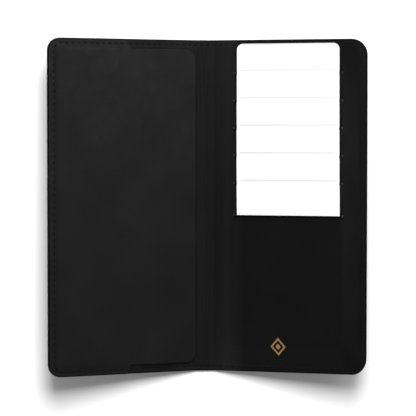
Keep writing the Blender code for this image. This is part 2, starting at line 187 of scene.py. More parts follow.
# painted shade: a grey band near each card's short edges stands in for the shade where one card steps over the
# next
CARD_EDGE_SHADE_START = 1.5 * MM
CARD_EDGE_SHADE_END = 0.5 * MM
CARD_EDGE_SHADE_TONE = (0.57, 0.57, 0.57)
KEY_ELEVATION = 61
HORIZON_LIGHT = 1.1
SKY_LIGHT = 0.27
FLOOR_HALF = 4.0
FLOOR_DROP = 0.05 * MM


def ramp(t):
    return min(max(t, 0.0), 1.0)


def smooth(t):
    t = ramp(t)
    return t * t * (3.0 - 2.0 * t)


def soft_ramp(t, round_start=SLOPE_ROUND, round_end=SLOPE_ROUND):
    """As ramp(), with its two corners rounded."""
    if t <= -round_start or t >= 1.0 + round_end:
        return ramp(t)
    if t < round_start:
        return (t + round_start) ** 2 / (4 * round_start)
    if t > 1.0 - round_end:
        return 1.0 - (1.0 + round_end - t) ** 2 / (4 * round_end)
    return t


def lay(side, s, y, h):
    """A point of the flat case, folded to the rest pose."""
    turn = TILT * smooth((s - SPINE_HALF + FOLD_REACH) / (2 * FOLD_REACH))
    out = s - SPINE_HALF
    up = h - FOLD_HEIGHT
    x = SPINE_HALF + out * cos(turn) - up * sin(turn)
    z = FOLD_HEIGHT + out * sin(turn) + up * cos(turn)
    return Vector((side * x, y, z))


def lay_flap(s, y, h):
    """As lay() on the left wing, with the loose half of the pocket lifted to its rest."""
    turn = FLAP_REST * smooth((FLAP_FOLD + FLAP_REACH - s) / (2 * FLAP_REACH))
    out = s - FLAP_FOLD
    up = h - FLAP_FOLD_HEIGHT
    return lay(
        -1,
        FLAP_FOLD + out * cos(turn) + up * sin(turn),
        y,
        FLAP_FOLD_HEIGHT - out * sin(turn) + up * cos(turn),
    )


# ---- cards and panel --------------------------------------------------------
class CardPlane:
    """One card's middle plane, from its CAD node and its slide."""

    def __init__(self, number):
        axis = joints[f"card_{number}_slide"]["axis"]
        lean = asin(axis[2] * cos(TILT) - axis[0] * sin(TILT))
        low, high = measure(f"card_{number}", 1)
        self.slope = tan(lean)
        self.top = HALF_LENGTH - high.y
        self.low_end = HALF_LENGTH - low.y
        self.middle = (self.top + self.low_end) / 2
        self.height = (low.z + high.z) / 2
        self.centre = (low.x + high.x) / 2

    def at(self, d):
        return self.height + (self.middle - d) * self.slope


CARDS = [CardPlane(number) for number in range(1, 7)]
SLITS = [card.top + CARD_LAP for card in CARDS[1:]] + [LAST_SLIT]
PANEL_LOW_END = CARDS[-1].low_end + PANEL_TUCK


def column_centre(d):
    """s of the card column's centre line at a depth d."""
    t = ramp((d - SLITS[0]) / (SLITS[-1] - SLITS[0]))
    return CARDS[0].centre + (CARDS[-1].centre - CARDS[0].centre) * t


def strip_height(d):
    """Middle of the panel within the card column, at a depth d from the top edge."""
    if d < SLITS[0]:
        return PANEL_BASE
    for rear, front, slit in zip(CARDS, CARDS[1:], SLITS[1:]):
        if d < slit:
            return (rear.at(d) + front.at(d)) / 2
    height = CARDS[-1].at(min(d, PANEL_LOW_END)) + FRONT_OFFSET
    height += LIP_LIFT * exp(-(d - LAST_SLIT) / LIP_REACH)
    down = soft_ramp((d - PANEL_LOW_END) / (SLOPE_END - PANEL_LOW_END))
    return height + (PANEL_BASE - height) * down


def slit_end_height(d):
    """Middle of the panel at the slits' ends, level with each card at its own slit."""
    depths = [SLITS[0] / 2] + SLITS + [LAST_SLIT + LIP_FLAT]
    heights = [PANEL_BASE] + [card.at(slit) for card, slit in zip(CARDS, SLITS)]
    heights.append(strip_height(depths[-1]))
    if d <= depths[0]:
        return PANEL_BASE
    if d >= depths[-1]:
        return strip_height(d)
    for start, end, low, high in zip(depths, depths[1:], heights, heights[1:]):
        if d <= end:
            return low + (high - low) * (d - start) / (end - start)


def pressed(e, low, high, rise):
    """Height that is low along the sewn edge and high over the board."""
    return low + (high - low) * smooth((e - rise[0]) / rise[1])


def wrinkle(s, y):
    """Fine creases along the spine, fading out on the wings."""
    fade = smooth((17 * MM - s) / (11 * MM))
    bend = 1.3 * sin(2 * pi * y / (47 * MM)) + 0.8 * sin(2 * pi * y / (19 * MM) + 2.0)
    first = sin(2 * pi * s / (1.9 * MM) + bend)
    first *= sin(2 * pi * (y / (61 * MM) + s / (9 * MM)))
    second = sin(2 * pi * s / (1.15 * MM) - 1.6 * bend)
    second *= sin(2 * pi * (y / (33 * MM) - s / (7 * MM)) + 1.0)
    return fade * MM * (0.05 * first + 0.03 * second)


def swell(s, y):
    """Slow unevenness of hide that has been handled."""
    return MM * (
        0.07 * sin(2 * pi * (s / (61 * MM) + y / (97 * MM)))
        + 0.05 * sin(2 * pi * (s / (38 * MM) - y / (51 * MM)) + 2.0)
        + 0.03 * sin(2 * pi * (s / (23 * MM) + y / (29 * MM)) + 4.0)
    )


def seam_dent(s, y):
    """Leather pulled down along the stitching."""
    across = min(abs(HALF_LENGTH - abs(y) - SEAM_END), abs(HALF_WIDTH - s - SEAM_SIDE))
    return SEAM_DENT * exp(-((across / DENT_WIDTH) ** 2))


def inner_middle(s, y, e):
    """Middle of the inner leather on the left wing and over the spine."""
    thickness = INNER_HIGH - INNER_LOW
    return pressed(e, PRESSED_LOW, INNER_LOW, INNER_RISE) + thickness / 2 + wrinkle(s, y)


def panel_middle(s, y, e):
    """Middle of the card panel, which runs on from the spine."""
    d = HALF_LENGTH - y
    centre = column_centre(d)
    across = abs(s - centre)
    if across <= STRIP_HALF:
        height = strip_height(d)
    elif across <= SLIT_HALF:
        t = (across - STRIP_HALF) / (SLIT_HALF - STRIP_HALF)
        height = strip_height(d) + (slit_end_height(d) - strip_height(d)) * t
    else:
        if s < centre:
            t = (s - BRIDGE_START) / (centre - SLIT_HALF - BRIDGE_START)
        else:
            t = (SLOPE_RIGHT - s) / (SLOPE_RIGHT - centre - SLIT_HALF)
        height = PANEL_BASE + (slit_end_height(d) - PANEL_BASE) * soft_ramp(t, round_end=0.0)
    on_spine = (INNER_LOW + INNER_HIGH) / 2
    off_spine = smooth((s - SPINE_HALF - FOLD_REACH) / SPINE_EASE)
    base = on_spine + (PANEL_BASE - on_spine) * off_spine
    edge = pressed(e, PRESSED_LOW + PANEL_THICKNESS / 2, base, PANEL_RISE)
    return edge + height - PANEL_BASE + wrinkle(s, y)


# ---- sheets of leather ------------------------------------------------------
def spaced(start, end, step):
    count = max(1, round((end - start) / step))
    return [start + (end - start) * i / count for i in range(count + 1)]


def plan_grid(columns, rows, rings, half_length, spine_corner=None):
    """Grid of (s, y, e) over a sheet whose outer corners are round.

    rings are the distances from the edge, down to the corner's radius. Near a corner
    the grid's square rings become arcs. half_length(s) is half the sheet's length, and
    spine_corner (start, radius) rounds the corners of a free edge on the spine side.
    """
    deepest = len(rings) - 1
    radius = rings[-1]
    first = list(range(deepest)) if spine_corner else []
    columns_at = [(None, k) for k in first] + [(s, deepest) for s in columns]
    columns_at += [(None, k) for k in reversed(range(deepest))]
    rows_at = [(None, k, -1) for k in range(deepest)] + [(y, deepest, 0) for y in rows]
    rows_at += [(None, k, 1) for k in reversed(range(deepest))]
    grid = []
    for i, (s_plain, ci) in enumerate(columns_at):
        inward = i < len(first)
        scale = spine_corner[1] / radius if inward else 1.0
        line = []
        for y_plain, rj, end in rows_at:
            base_s = columns[0] if inward else columns[-1]
            way = -1 if inward else 1
            if s_plain is None and y_plain is None:
                k = min(ci, rj)
                if ci <= rj:
                    angle = pi / 4 * (deepest - rj) / (deepest - k)
                else:
                    angle = pi / 2 - pi / 4 * (deepest - ci) / (deepest - k)
                reach = (radius - rings[k]) * scale
                s = base_s + way * reach * cos(angle)
                y = end * (half_length(base_s) - radius * scale + reach * sin(angle))
                e = rings[k] * scale
            else:
                s = s_plain if s_plain is not None else base_s + way * (radius - rings[ci]) * scale
                half = half_length(base_s if s_plain is None else s)
                local = scale
                if spine_corner and s_plain is not None:
                    shrink = 1.0 - spine_corner[1] / radius
                    local = 1.0 - shrink * smooth((FLAP_FOLD - s) / STEP_WIDTH)
                low = half - radius * local
                y = y_plain / rows[-1] * low if y_plain is not None else end * (half - rings[rj] * local)
                e = min(half - abs(y), columns[-1] + radius - s)
                if spine_corner:
                    e = min(e, s - columns[0] + spine_corner[1])
            line.append((s, y, e))
        grid.append(line)
    return grid


def edge_drop(e, thickness):
    """How far a rounded edge pulls each face in towards the sheet's middle."""
    if e >= EDGE_ROUNDNESS:
        return 0.0
    t = 1.0 - e / EDGE_ROUNDNESS
    return thickness / 2 * (1.0 - (1.0 - t * t) ** 0.5)


def build_sheet(
    name, grid, middle, thickness, place, skip=(), top_extra=None, bottom_extra=None, edge_at=None
):
    """A closed sheet of leather over a plan grid, open at the cells in skip.

    top_extra and bottom_extra shift one face only, and edge_at replaces the distance
    from the edge that the paint goes by. A sheet that starts on the spine's centre line
    is closed there too.
    """
    bm = bmesh.new()
    plan = bm.verts.layers.float_vector.new("plan")
    edge = bm.verts.layers.float.new("edge")
    layers = []
    for sign, extra in ((1, top_extra), (-1, bottom_extra)):
        points = []
        for line in grid:
            made = []
            for s, y, e in line:
                h = middle(s, y, e) + sign * (thickness / 2 - edge_drop(e, thickness))
                if extra:
                    h += extra(s, y, e)
                vert = bm.verts.new(place(s, y, h))
                vert[plan] = (s, y, h)
                vert[edge] = edge_at(s, y, e) if edge_at else e
                made.append(vert)
            points.append(made)
        layers.append(points)
    top, bottom = layers
    for i in range(len(grid) - 1):
        for j in range(len(grid[0]) - 1):
            if (i, j) in skip:
                sides = (
                    ((i, j), (i + 1, j), (i, j - 1)),
                    ((i, j + 1), (i + 1, j + 1), (i, j + 1)),
                    ((i, j), (i, j + 1), (i - 1, j)),
                    ((i + 1, j), (i + 1, j + 1), (i + 1, j)),
                )
                for (a, b), (c, d), neighbour in sides:
                    if neighbour not in skip:
                        bm.faces.new((top[a][b], top[c][d], bottom[c][d], bottom[a][b]))
                continue
            for points in layers:
                bm.faces.new((points[i][j], points[i + 1][j], points[i + 1][j + 1], points[i][j + 1]))
    if grid[0][0][0] < SPINE_HALF / 2:
        for j in range(len(grid[0]) - 1):
            bm.faces.new((top[0][j], top[0][j + 1], bottom[0][j + 1], bottom[0][j]))
    bmesh.ops.remove_doubles(bm, verts=bm.verts, dist=MERGE)
    bmesh.ops.dissolve_degenerate(bm, edges=bm.edges, dist=MERGE / 10)
    bmesh.ops.recalc_face_normals(bm, faces=bm.faces)
    for face in bm.faces:
        if max(vert[edge] for vert in face.verts) < PAINT_WIDTH:
            face.material_index = 1
    return finish_mesh(name, bm)


def finish_mesh(name, bm):
    mesh = bpy.data.meshes.new(name)
    bm.to_mesh(mesh)
    bm.free()
    mesh.shade_smooth()
    mesh.set_sharp_from_angle(angle=SHARP_ANGLE)
    piece = bpy.data.objects.new(name, mesh)
    bpy.context.scene.collection.objects.link(piece)
    return piece


def close_tube(bm, rings):
    """Faces round a row of rings of vertices, with a cap at each end."""
    for a, b in zip(rings, rings[1:]):
        for k in range(len(a)):
            following = (k + 1) % len(a)
            bm.faces.new((a[k], a[following], b[following], b[k]))
    bm.faces.new(rings[0])
    bm.faces.new(rings[-1])


def rings_for(corner):
    return [e for e in RINGS if e < corner - 0.5 * MM] + [corner]


def wing_grid(corner, columns, rows):
    columns = [s for s in columns if s < HALF_WIDTH - corner - 0.1 * MM] + [HALF_WIDTH - corner]
    return plan_grid(columns, rows, rings_for(corner), lambda s: HALF_LENGTH)


def plain_rows(corner, step=COARSE):
    return spaced(-(HALF_LENGTH - corner), HALF_LENGTH - corner, step)


def spine_blend(piece):
    """Bake a piece's transform into its mesh."""
    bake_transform(piece)


def make_outer_leather(side_name, look, paint):
    side = SIDES[side_name]
    corner = CORNERS[side_name]
    columns = spaced(0.0, SPINE_HALF + 3 * MM, 0.35 * MM)
    columns += spaced(SPINE_HALF + 3.5 * MM, HALF_WIDTH, COARSE)

    def back_face(s, y, e):
        return outer_level(s, y)

    def hidden_face(s, y, e):
        filler = PRESSED_LOW - COVER_TOP - CLEARANCE
        return filler * (1.0 - smooth((e - FILLER_END[0]) / FILLER_END[1]))

    piece = build_sheet(
        f"outer_leather_{side_name}",
        wing_grid(corner, columns, plain_rows(corner)),
        lambda s, y, e: COVER_TOP / 2,
        COVER_TOP,
        lambda s, y, h: lay(side, s, y, h),
        top_extra=hidden_face,
        bottom_extra=back_face,
    )
    piece.data.materials.append(look)
    piece.data.materials.append(paint)
    nodes = [f"{side_name}_cover"] + (["spine_cover"] if side_name == "left" else [])
    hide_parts(*nodes)
    spine_blend(piece)


def make_inner_leather(look, paint):
    corner = CORNERS["left"]
    columns = spaced(0.0, 16 * MM, 0.3 * MM) + spaced(17 * MM, HALF_WIDTH, COARSE)
    piece = build_sheet(
        "inner_leather_left",
        wing_grid(corner, columns, plain_rows(corner)),
        inner_middle,
        INNER_HIGH - INNER_LOW,
        lambda s, y, h: lay(-1, s, y, h),
        top_extra=lambda s, y, e: -seam_dent(s, y),
    )
    piece.data.materials.append(look)
    piece.data.materials.append(paint)
    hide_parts("left_inner_leather", "spine_lining")
    spine_blend(piece)


def make_card_panel(look, paint):
    """The panel is a grid with a row of cells left out for each slit.

    The columns are set out round the first card, and are then shifted with the drift.
    """
    corner = CORNERS["right"]
    first = CARDS[0].centre
    slit_left = first - SLIT_HALF
    slit_right = first + SLIT_HALF
    columns = spaced(0.0, slit_left, 0.3 * MM)
    columns += [first - STRIP_HALF] + spaced(first - STRIP_PLAIN, first + STRIP_PLAIN, COARSE)
    columns += [first + STRIP_HALF] + spaced(slit_right, HALF_WIDTH - corner, 0.6 * MM)
    reach = HALF_LENGTH - corner
    depths = set(spaced(corner, SLITS[0] - 1 * MM, 2 * MM))
    for slit, following in zip(SLITS, SLITS[1:] + [2 * HALF_LENGTH - corner]):
        depths.update((slit - SLIT_WIDTH / 2, slit + SLIT_WIDTH / 2))
        depths.update((slit + 0.5 * MM, slit + 1.0 * MM))
        depths.update(spaced(slit + 1.8 * MM, following - 0.8 * MM, 1.8 * MM))
    depths.add(2 * HALF_LENGTH - corner)
    rows = sorted(HALF_LENGTH - d for d in depths)
    rows[0], rows[-1] = -reach, reach
    grid = wing_grid(corner, columns, rows)
    skip = set()
    for i in range(len(grid) - 1):
        inside = slit_left - 1e-6 < grid[i][0][0] and grid[i + 1][0][0] < slit_right + 1e-6
        for j in range(len(grid[0]) - 1):
            y_middle = (grid[i][j][1] + grid[i][j + 1][1]) / 2
            near = any(abs(HALF_LENGTH - y_middle - slit) < SLIT_WIDTH / 4 for slit in SLITS)
            if inside and near:
                skip.add((i, j))
    for line in grid:
        for j, (s, y, e) in enumerate(line):
            if s < slit_left:
                window = ramp(s / slit_left)
            else:
                window = ramp((HALF_WIDTH - s) / (HALF_WIDTH - slit_right))
            line[j] = (s + (column_centre(HALF_LENGTH - y) - first) * window, y, e)

    def paint_and_slit_shade_distance(s, y, e):
        """Distance from an edge, counting the slits' edges, whose paint spreads into a broad band of painted shade
        along each slit.
        """
        beside = max(abs(s - column_centre(HALF_LENGTH - y)) - SLIT_HALF, 0.0)
        below = min(abs(HALF_LENGTH - y - slit) for slit in SLITS) - SLIT_WIDTH / 2
        return min(e, SLIT_PAINT_AND_SHADE * max(below, 0.0) + beside)

    piece = build_sheet(
        "card_panel_leather",
        grid,
        panel_middle,
        PANEL_THICKNESS,
        lambda s, y, h: lay(1, s, y, h),
        skip=skip,
        top_extra=lambda s, y, e: -seam_dent(s, y),
        edge_at=paint_and_slit_shade_distance,
    )
    piece.data.materials.append(look)
    piece.data.materials.append(paint)
    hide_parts("card_panel")
    spine_blend(piece)


def pocket_half(s):
    """Half length of the pocket leather: full where sewn, stepped in along the flap."""
    step = smooth((s - FLAP_FOLD) / STEP_WIDTH)
    return FLAP_HALF + (HALF_LENGTH - FLAP_HALF) * step


def flap_gape(s, y):
    """The loose half stands up a little in the middle of its lower edge."""
    along = exp(-(((s - FLAP_GAPE_S) / FLAP_GAPE_HALF) ** 2))
    return FLAP_GAPE * along * exp(-max(y + FLAP_HALF, 0.0) / FLAP_GAPE_DEPTH)


def pocket_middle(s, y, e):
    """Middle of the pocket leather, which comes down to the seam only where it is sewn."""
    thickness = POCKET_HIGH - POCKET_LOW
    sewn_low = PRESSED_LOW + INNER_HIGH - INNER_LOW + CLEARANCE
    if s < FLAP_FOLD:
        low = POCKET_LOW
    else:
        sewn = smooth((s - FLAP_FOLD) / SEWN_WIDTH)
        low = POCKET_LOW + (pressed(e, sewn_low, POCKET_LOW, POCKET_RISE) - POCKET_LOW) * sewn
    return low + thickness / 2 + swell(s, y) + flap_gape(s, y)


def make_pocket(look, paint):
    corner = CORNERS["left"]
    thickness = POCKET_HIGH - POCKET_LOW
    columns = spaced(FLAP_EDGE + FLAP_CORNER, FLAP_FOLD - 4 * MM, 2 * MM)
    columns += spaced(FLAP_FOLD - 3.5 * MM, FLAP_FOLD + 5 * MM, 0.4 * MM)
    columns += spaced(FLAP_FOLD + 6 * MM, HALF_WIDTH - corner, 2.5 * MM)
    grid = plan_grid(
        columns, plain_rows(corner, 2.5 * MM), rings_for(corner), pocket_half, (FLAP_EDGE, FLAP_CORNER)
    )
    piece = build_sheet(
        "phone_pocket_leather",
        grid,
        pocket_middle,
        thickness,
        lay_flap,
        top_extra=lambda s, y, e: -seam_dent(s, y) if s > FLAP_FOLD else 0.0,
    )
    piece.data.materials.append(look)
    piece.data.materials.append(paint)
    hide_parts("phone_pocket_panel", "phone_pocket_flap")
    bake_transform(piece)


# ---- stitching --------------------------------------------------------------
def seam_route(corner, s_start, s_end=None):
    """Points (s, y, direction) a stitch apart along a wing's seam.

    With s_end the route is only the two straight runs between s_start and s_end.
    """
    y_run = HALF_LENGTH - SEAM_END
    s_run = HALF_WIDTH - SEAM_SIDE
    radius = corner - SEAM_END
    if s_end is not None:
        places = []
        for s in spaced(s_start, s_end, STITCH_PITCH):
            places += [(s, y_run, 0.0), (s, -y_run, 0.0)]
        return places
    top = s_run - radius - s_start
    arc = pi / 2 * radius
    side = 2 * (y_run - radius)
    total = 2 * top + 2 * arc + side
    count = round(total / STITCH_PITCH)
    arc_s = s_run - radius
    arc_y = y_run - radius
    places = []
    for i in range(count + 1):
        at = total * i / count
        if at <= top:
            places.append((s_start + at, y_run, 0.0))
        elif at <= top + arc:
            angle = pi / 2 - (at - top) / radius
            places.append((arc_s + radius * cos(angle), arc_y + radius * sin(angle), angle - pi / 2))
        elif at <= top + arc + side:
            places.append((s_run, arc_y - (at - top - arc), -pi / 2))
        elif at <= top + 2 * arc + side:
            angle = -(at - top - arc - side) / radius
            places.append((arc_s + radius * cos(angle), radius * sin(angle) - arc_y, angle - pi / 2))
        else:
            places.append((arc_s - (at - top - 2 * arc - side), -y_run, pi))
    return places


def add_strand(bm, place, centre, direction, length, radius, surface, lift):
    """A short length of thread that rises out of the leather and goes back in."""
    along = (cos(direction), sin(direction))
    rings = []
    for i in range(STRAND_SECTIONS + 1):
        t = i / STRAND_SECTIONS
        reach = (t - 0.5) * length
        s = centre[0] + along[0] * reach
        y = centre[1] + along[1] * reach
        arch = 1.0 - abs(2 * t - 1.0) ** 2.5
        thin = 0.55 + 0.45 * arch
        sunk = -radius * 1.5
        height = surface(s, y) + (sunk + (lift - sunk) * arch)
        ring = []
        for k in range(STRAND_SIDES):
            angle = 2 * pi * k / STRAND_SIDES
            off = radius * thin * cos(angle)
            up = radius * thin * sin(angle)
            ring.append(bm.verts.new(place(s - along[1] * off, y + along[0] * off, height + up)))
        rings.append(ring)
    close_tube(bm, rings)


def make_seam(name, places, place, surface, look):
    bm = bmesh.new()
    for s, y, direction in places:
        slanted = direction + STITCH_SLANT
        add_strand(bm, place, (s, y), slanted, STITCH_LENGTH, STITCH_RADIUS, surface, STITCH_LIFT)
    bmesh.ops.recalc_face_normals(bm, faces=bm.faces)
    piece = finish_mesh(name, bm)
    piece.data.materials.append(look)
    return piece


def edge_distance(s, y):
    return min(HALF_WIDTH - s, HALF_LENGTH - abs(y))


def make_seams(look):
    """The seam as seen on each leather, and where it comes through on the covers."""

    def inner_surface(s, y):
        e = edge_distance(s, y)
        return inner_middle(s, y, e) + (INNER_HIGH - INNER_LOW) / 2 - seam_dent(s, y)

    def panel_surface(s, y):
        e = edge_distance(s, y)
        return panel_middle(s, y, e) + PANEL_THICKNESS / 2 - seam_dent(s, y)

    def pocket_surface(s, y):
        e = edge_distance(s, y)
        return pocket_middle(s, y, e) + (POCKET_HIGH - POCKET_LOW) / 2 - seam_dent(s, y)

    half_pitch = STITCH_PITCH / 2
    pocket_start = FLAP_FOLD + STEP_WIDTH + half_pitch
    base = make_seam(
        "seam_base_left",
        seam_route(CORNERS["left"], half_pitch, FLAP_FOLD - 0.5 * MM),
        lambda s, y, h: lay(-1, s, y, h),
        inner_surface,
        look,
    )
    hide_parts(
        "spine_seam_top", "spine_seam_bottom", "left_gutter_seam_top", "left_gutter_seam_bottom"
    )
    spine_blend(base)
    pocket = make_seam(
        "seam_pocket",
        seam_route(CORNERS["left"], pocket_start),
        lambda s, y, h: lay(-1, s, y, h),
        pocket_surface,
        look,
    )
    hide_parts("phone_pocket_seam")
    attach(pocket, "left_wing")
    panel = make_seam(
        "seam_card_panel",
        seam_route(CORNERS["right"], half_pitch),
        lambda s, y, h: lay(1, s, y, h),
        panel_surface,
        look,
    )
    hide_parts("card_panel_seam")
    spine_blend(panel)
    for side_name, side in SIDES.items():
        outer = make_seam(
            f"seam_outer_{side_name}",
            seam_route(CORNERS[side_name], half_pitch),
            lambda s, y, h, side=side: lay(side, s, y, -h),
            lambda s, y: -outer_level(s, y),
            look,
        )
        spine_blend(outer)


def outer_level(s, y):
    """Height of the outer face, which rolls in at the edge and dips along the seam."""
    e = edge_distance(s, y)
    return OUTER_ROLL * (1.0 - smooth(e / OUTER_ROLL_WIDTH)) + seam_dent(s, y)


def make_tacks(look):
    """Bar tacks: four short stitches side by side across each end of each slit."""
    bm = bmesh.new()

    def place(s, y, h):
        return lay(1, s, y, h)

    def surface(s, y):
        return panel_middle(s, y, edge_distance(s, y)) + PANEL_THICKNESS / 2

    for slit in SLITS:
        for way in (-1, 1):
            for k in range(TACK_STRANDS):
                s = column_centre(slit) + way * (SLIT_HALF - TACK_INSET + k * TACK_PITCH)
                centre = (s, HALF_LENGTH - slit)
                add_strand(bm, place, centre, pi / 2, TACK_LENGTH, TACK_RADIUS, surface, TACK_LIFT)
    bmesh.ops.recalc_face_normals(bm, faces=bm.faces)
    piece = finish_mesh("slit_tacks", bm)
    piece.data.materials.append(look)
    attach(piece, "right_wing")


def make_slit_beads(look):
    """A bead of edge paint along the lower lip of each slit."""
    bm = bmesh.new()
    for slit in SLITS:
        centre = column_centre(slit)
        y = HALF_LENGTH - slit - SLIT_WIDTH / 2
        rings = []
        for s in spaced(centre - SLIT_HALF, centre + SLIT_HALF, BEAD_STEP):
            middle = panel_middle(s, y, edge_distance(s, y))
            ring = []
            for k in range(BEAD_SIDES):
                angle = 2 * pi * k / BEAD_SIDES
                across = BEAD_WIDTH / 2 * cos(angle)
                up = BEAD_HEIGHT / 2 * sin(angle)
                ring.append(bm.verts.new(lay(1, s, y - BEAD_OFFSET + across, middle + up)))
            rings.append(ring)
        close_tube(bm, rings)
    bmesh.ops.recalc_face_normals(bm, faces=bm.faces)
    piece = finish_mesh("slit_edge_beads", bm)
    piece.data.materials.append(look)
    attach(piece, "right_wing")


# ---- foil emblem ------------------------------------------------------------
def make_emblem(look):
    """A plain lozenge frame round a small solid lozenge, pressed in foil."""
    low, high = measure("foil_emblem", 1)
    centre_s = (low.x + high.x) / 2
    centre_y = (low.y + high.y) / 2
    half_s = (high.x - low.x) / 2
    half_y = (high.y - low.y) / 2
    lift = PANEL_THICKNESS / 2 + FOIL_LIFT
    bm = bmesh.new()

    def point(a, b, extra):
        s = centre_s + a * half_s
        y = centre_y + b * half_y
        return bm.verts.new(lay(1, s, y, panel_middle(s, y, edge_distance(s, y)) + lift + extra))

    def slab(corners, steps):
        """A thin patch between four corners, given in order."""
        layers = []
        for extra in (0.0, FOIL_THICKNESS):
            rows = []
            for i in range(steps + 1):
                t = i / steps
                line = []
                for j in range(3):
                    w = j / 2
                    near = [corners[0][n] * (1 - t) + corners[1][n] * t for n in (0, 1)]
                    far = [corners[3][n] * (1 - t) + corners[2][n] * t for n in (0, 1)]
                    a, b = (near[n] * (1 - w) + far[n] * w for n in (0, 1))
                    line.append(point(a, b, extra))
                rows.append(line)
            layers.append(rows)
        for rows in layers:
            for i in range(steps):
                for j in range(2):
                    bm.faces.new((rows[i][j], rows[i + 1][j], rows[i + 1][j + 1], rows[i][j + 1]))
        low_rows, high_rows = layers
        for j in (0, 2):
            for i in range(steps):
                bm.faces.new((low_rows[i][j], low_rows[i + 1][j], high_rows[i + 1][j], high_rows[i][j]))
        for i in (0, steps):
            for j in range(2):
                bm.faces.new((low_rows[i][j], low_rows[i][j + 1], high_rows[i][j + 1], high_rows[i][j]))

    tips = ((1.0, 0.0), (0.0, 1.0), (-1.0, 0.0), (0.0, -1.0))
    inner_tips = [(a * FOIL_FRAME, b * FOIL_FRAME) for a, b in tips]
    for k in range(4):
        following = (k + 1) % 4
        slab((tips[k], tips[following], inner_tips[following], inner_tips[k]), 8)
    slab([(a * FOIL_CORE, b * FOIL_CORE) for a, b in tips], 4)
    bmesh.ops.remove_doubles(bm, verts=bm.verts, dist=MERGE)
    bmesh.ops.recalc_face_normals(bm, faces=bm.faces)
    piece = finish_mesh("foil_lozenge", bm)
    piece.data.materials.append(look)
    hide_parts("foil_emblem")
    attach(piece, "right_wing")


# ---- materials --------------------------------------------------------------
class Look:
    """A Principled material with a few procedural nodes behind it."""

    def __init__(self, name, coordinate="plan"):
        self.material = bpy.data.materials.new(name)
        self.material.use_nodes = True
        self.tree = self.material.node_tree
        self.shader = self.tree.nodes["Principled BSDF"]
        if coordinate == "plan":
            source = self.tree.nodes.new("ShaderNodeAttribute")
            source.attribute_name = "plan"
            self.coordinate = source.outputs["Vector"]
        else:
            source = self.tree.nodes.new("ShaderNodeTexCoord")
            self.coordinate = source.outputs["Object"]

    def set(self, **values):
        for name, value in values.items():
            self.shader.inputs[name.replace("_", " ")].default_value = value

    def noise(self, size, detail=3.0, stretch=(1.0, 1.0, 1.0)):
        """Noise whose features are about size across, in metres."""
        mapping = self.tree.nodes.new("ShaderNodeMapping")
        mapping.inputs["Scale"].default_value = [k / size for k in stretch]
        self.tree.links.new(self.coordinate, mapping.inputs["Vector"])
        node = self.tree.nodes.new("ShaderNodeTexNoise")
        node.inputs["Scale"].default_value = 1.0
        node.inputs["Detail"].default_value = detail
        self.tree.links.new(mapping.outputs["Vector"], node.inputs["Vector"])
        return node.outputs["Fac"]

    def cells(self, size):
        """Smooth rounded cells about size across, in metres."""
        mapping = self.tree.nodes.new("ShaderNodeMapping")
        mapping.inputs["Scale"].default_value = [1.0 / size] * 3
        self.tree.links.new(self.coordinate, mapping.inputs["Vector"])
        node = self.tree.nodes.new("ShaderNodeTexVoronoi")
        node.feature = "SMOOTH_F1"
        node.inputs["Scale"].default_value = 1.0
        self.tree.links.new(mapping.outputs["Vector"], node.inputs["Vector"])
        return node.outputs["Distance"]

    def remap(self, value, low, high, start=0.0, end=1.0):
        node = self.tree.nodes.new("ShaderNodeMapRange")
        node.inputs["From Min"].default_value = start
        node.inputs["From Max"].default_value = end
        node.inputs["To Min"].default_value = low
        node.inputs["To Max"].default_value = high
        self.tree.links.new(value, node.inputs["Value"])
        return node.outputs["Result"]

    def math(self, operation, a, b):
        node = self.tree.nodes.new("ShaderNodeMath")
        node.operation = operation
        for socket, value in zip(node.inputs, (a, b)):
            if isinstance(value, float):
                socket.default_value = value
            else:
                self.tree.links.new(value, socket)
        return node.outputs["Value"]

    def mix_colour(self, factor, first, second):
        node = self.tree.nodes.new("ShaderNodeMix")
        node.data_type = "RGBA"
        self.tree.links.new(factor, node.inputs["Factor"])
        for socket, value in ((node.inputs[6], first), (node.inputs[7], second)):
            if isinstance(value, tuple):
                socket.default_value = (*value, 1.0)
            else:
                self.tree.links.new(value, socket)
        return node.outputs[2]

    def attribute(self, name):
        node = self.tree.nodes.new("ShaderNodeAttribute")
        node.attribute_name = name
        return node.outputs["Fac"]

    def bump(self, height, depth, strength=1.0):
        node = self.tree.nodes.new("ShaderNodeBump")
        node.inputs["Distance"].default_value = depth
        node.inputs["Strength"].default_value = strength
        self.tree.links.new(height, node.inputs["Height"])
        self.tree.links.new(node.outputs["Normal"], self.shader.inputs["Normal"])

    def link(self, name, value):
        self.tree.links.new(value, self.shader.inputs[name])


